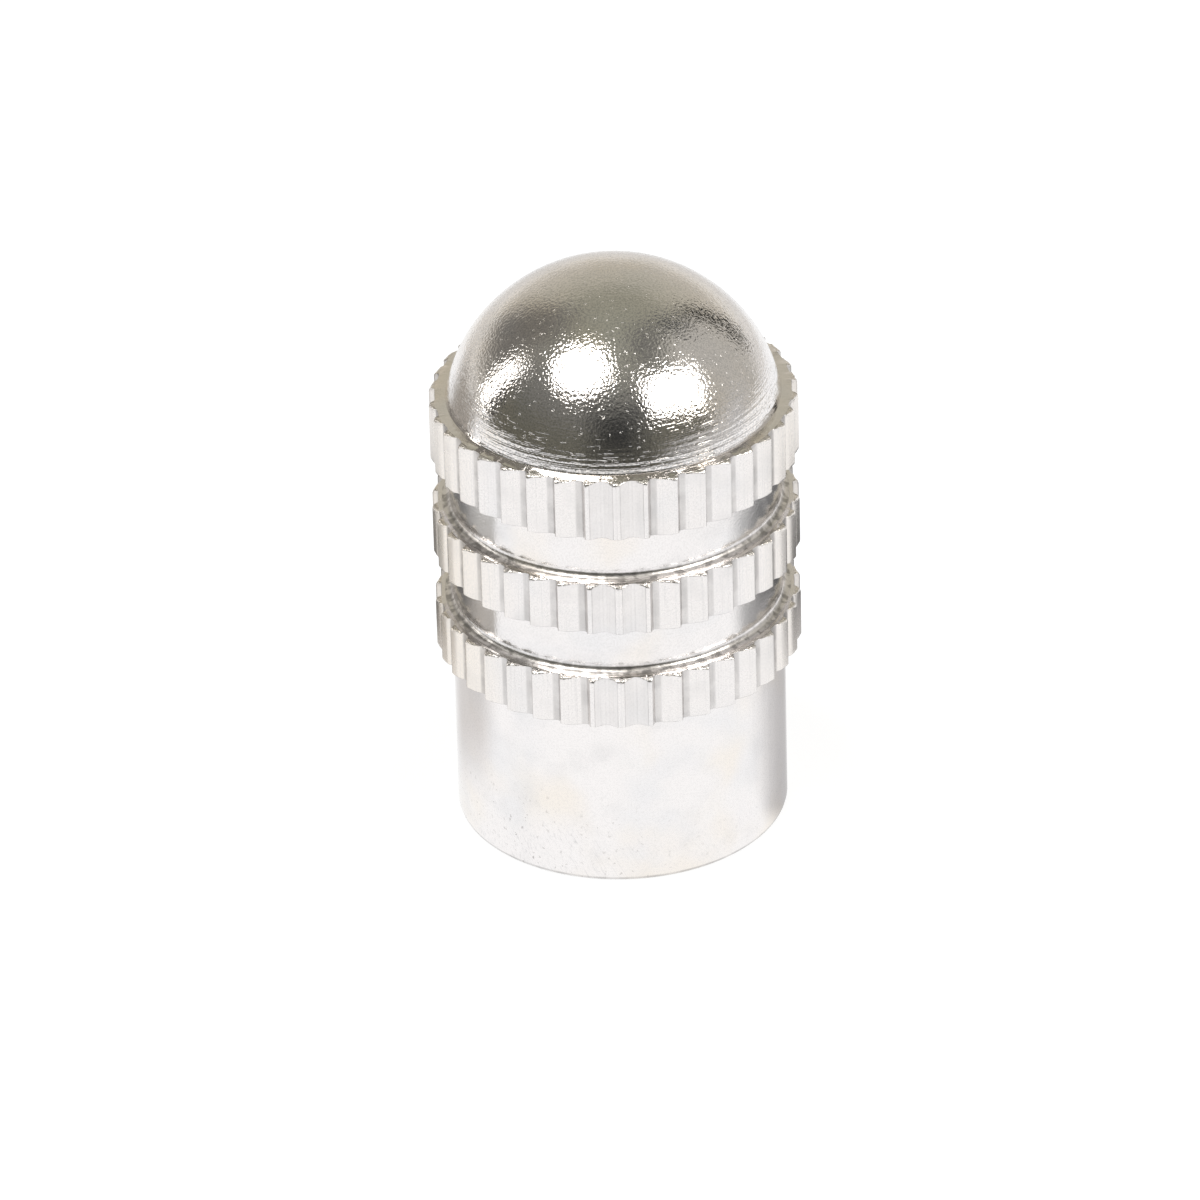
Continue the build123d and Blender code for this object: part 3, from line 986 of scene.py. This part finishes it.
def paperMaterial():
    material, tree, output = newMaterial("whitePaper")
    white = studio["paperWhite"]
    ray = put(tree, "ShaderNodeLightPath").outputs
    facing = put(tree, "ShaderNodeNewGeometry").outputs["Backfacing"]
    matt = put(tree, "ShaderNodeBsdfDiffuse", {"Color": rgb(white, white, white)}).outputs[0]
    strength = calc(tree, "MULTIPLY_ADD", ray["Is Camera Ray"], studio["overexposed"], 1.0)
    # to the metal the paper gets dimmer behind the cap, as painted shade, and has the painted shadows of the
    # cap on it
    place = put(tree, "ShaderNodeTexCoord").outputs["Object"]
    back = separate(tree, place)["Y"]
    shade = mixColour(tree, ramp(tree, back, *studio["paperFade"]), pureWhite, studio["farPaper"])
    for *ring, colour in studio["paintedShadows"]:
        shade = mixColour(tree, paintedShadowShare(tree, place, *ring), shade, colour)
    shade = mixColour(tree, ray["Is Camera Ray"], shade, pureWhite)
    glow = put(tree, "ShaderNodeEmission", {"Color": shade, "Strength": strength}).outputs[0]
    clear = put(tree, "ShaderNodeBsdfTransparent").outputs[0]
    radius = calcVector(tree, "LENGTH", {0: place})["Value"]
    seenWhite = ramp(tree, radius, *studio["shadowFade"], studio["seenWhite"], 1.0)
    seen = calc(tree, "MULTIPLY", ray["Is Camera Ray"], seenWhite)
    mirrored = calc(tree, "MAXIMUM", ray["Is Glossy Ray"], ray["Is Transmission Ray"])
    share = calc(tree, "ADD", mirrored, seen)
    paper = put(tree, "ShaderNodeMixShader", {0: share, 1: matt, 2: glow}).outputs[0]
    # from below the paper doesn't hide the cap
    hidden = calc(tree, "MULTIPLY", facing, ray["Is Camera Ray"])
    surface = put(tree, "ShaderNodeMixShader", {0: hidden, 1: paper, 2: clear}).outputs[0]
    tree.links.new(surface, output.inputs["Surface"])
    return material


def addPaper():
    reach = studio["paperReach"]
    front = -studio["paperFront"]
    right = studio["paperRight"]
    level = -studio["paperDrop"]
    corners = [(-reach, front, level), (right, front, level), (right, reach, level), (-reach, reach, level)]
    mesh = bpy.data.meshes.new("paper")
    mesh.from_pydata(corners, [], [(0, 1, 2, 3)])
    mesh.materials.append(paperMaterial())
    paper = bpy.data.objects.new("paper", mesh)
    scene.collection.objects.link(paper)


def roomWorld():
    world = bpy.data.worlds.new("room")
    scene.world = world
    world.use_nodes = True
    tree = world.node_tree
    tree.nodes.clear()
    output = put(tree, "ShaderNodeOutputWorld")
    axes = separate(tree, put(tree, "ShaderNodeTexCoord").outputs["Generated"])
    azimuth = azimuthOf(tree, axes["X"], axes["Y"])
    elevation = calc(tree, "DEGREES", calc(tree, "ARCSINE", axes["Z"]))
    height = calc(tree, "DIVIDE", calc(tree, "ADD", elevation, 90.0), 180.0)

    # colour by elevation
    def gradient(stops):
        node = put(tree, "ShaderNodeValToRGB", {"Fac": height})
        node.color_ramp.interpolation = "EASE"
        while len(node.color_ramp.elements) < len(stops):
            node.color_ramp.elements.new(0.5)
        for element, (stop, shade) in zip(node.color_ramp.elements, stops):
            element.position = (stop + 90.0) / 180.0
            element.color = rgb(*shade)
        return node.outputs["Color"]

    def asideOf(centre):
        turned = calc(tree, "SUBTRACT", azimuth, centre)
        return calc(tree, "ABSOLUTE", calc(tree, "WRAP", turned, 180.0, -180.0))

    frontShare = ramp(tree, asideOf(studio["frontMiddle"]), *studio["frontFade"], 1.0, 0.0)
    colour = mixColour(tree, frontShare, gradient(studio["behind"]), gradient(studio["front"]))
    for centre, middle, halfWidth, halfHeight, soft, patch in studio["patches"]:
        aside = calc(tree, "DIVIDE", asideOf(centre), halfWidth)
        above = calc(tree, "ABSOLUTE", calc(tree, "SUBTRACT", elevation, middle))
        edge = calc(tree, "MAXIMUM", aside, calc(tree, "DIVIDE", above, halfHeight))
        colour = mixColour(tree, ramp(tree, edge, 1.0 - soft, 1.0 + soft, 1.0, 0.0), colour, patch)
    ray = put(tree, "ShaderNodeLightPath").outputs
    room = put(tree, "ShaderNodeBackground", {"Color": colour, "Strength": 1.0}).outputs[0]
    white = put(tree, "ShaderNodeBackground", {"Color": pureWhite, "Strength": 1.0}).outputs[0]
    surface = put(tree, "ShaderNodeMixShader", {0: ray["Is Camera Ray"], 1: room, 2: white}).outputs[0]
    tree.links.new(surface, output.inputs["Surface"])


# the camera looks down on the cap from the front, as in the photograph
cameraView = {
    "elevation": 31.6,
    "roll": -1.5,
    "distance": 0.25,
    "lens": 275.2,
    "sensor": 36.0,
    "clip": (0.01, 10.0),
    "aimLevel": 8.0 * mm,
    "aimPixel": (617.0, 543.4),   # where that point of the axis is in the frame
    "frame": 1200.0,
}


def addCamera():
    view = cameraView
    camera = bpy.data.cameras.new("camera")
    camera.lens = view["lens"]
    camera.sensor_width = view["sensor"]
    camera.clip_start, camera.clip_end = view["clip"]
    back = towards(0.0, view["elevation"])
    side = Vector((1.0, 0.0, 0.0))
    upright = back.cross(side)
    roll = math.radians(view["roll"])
    right = side * math.cos(roll) + upright * math.sin(roll)
    up = upright * math.cos(roll) - side * math.sin(roll)
    pixel = view["distance"] * view["sensor"] / view["lens"] / view["frame"]   # metres at the cap
    aimX, aimY = view["aimPixel"]
    middle = Vector((0.0, 0.0, view["aimLevel"]))
    middle -= right * (aimX - view["frame"] / 2) * pixel
    middle += up * (aimY - view["frame"] / 2) * pixel
    holder = bpy.data.objects.new("camera", camera)
    turned = Matrix((right, up, back)).transposed().to_4x4()
    holder.matrix_world = Matrix.Translation(middle + back * view["distance"]) @ turned
    scene.collection.objects.link(holder)
    scene.camera = holder


addLamps(Vector((0.0, 0.0, shell["ledgeLevel"] * mm)))
addPaper()
roomWorld()
addCamera()
print("studio and camera placed")
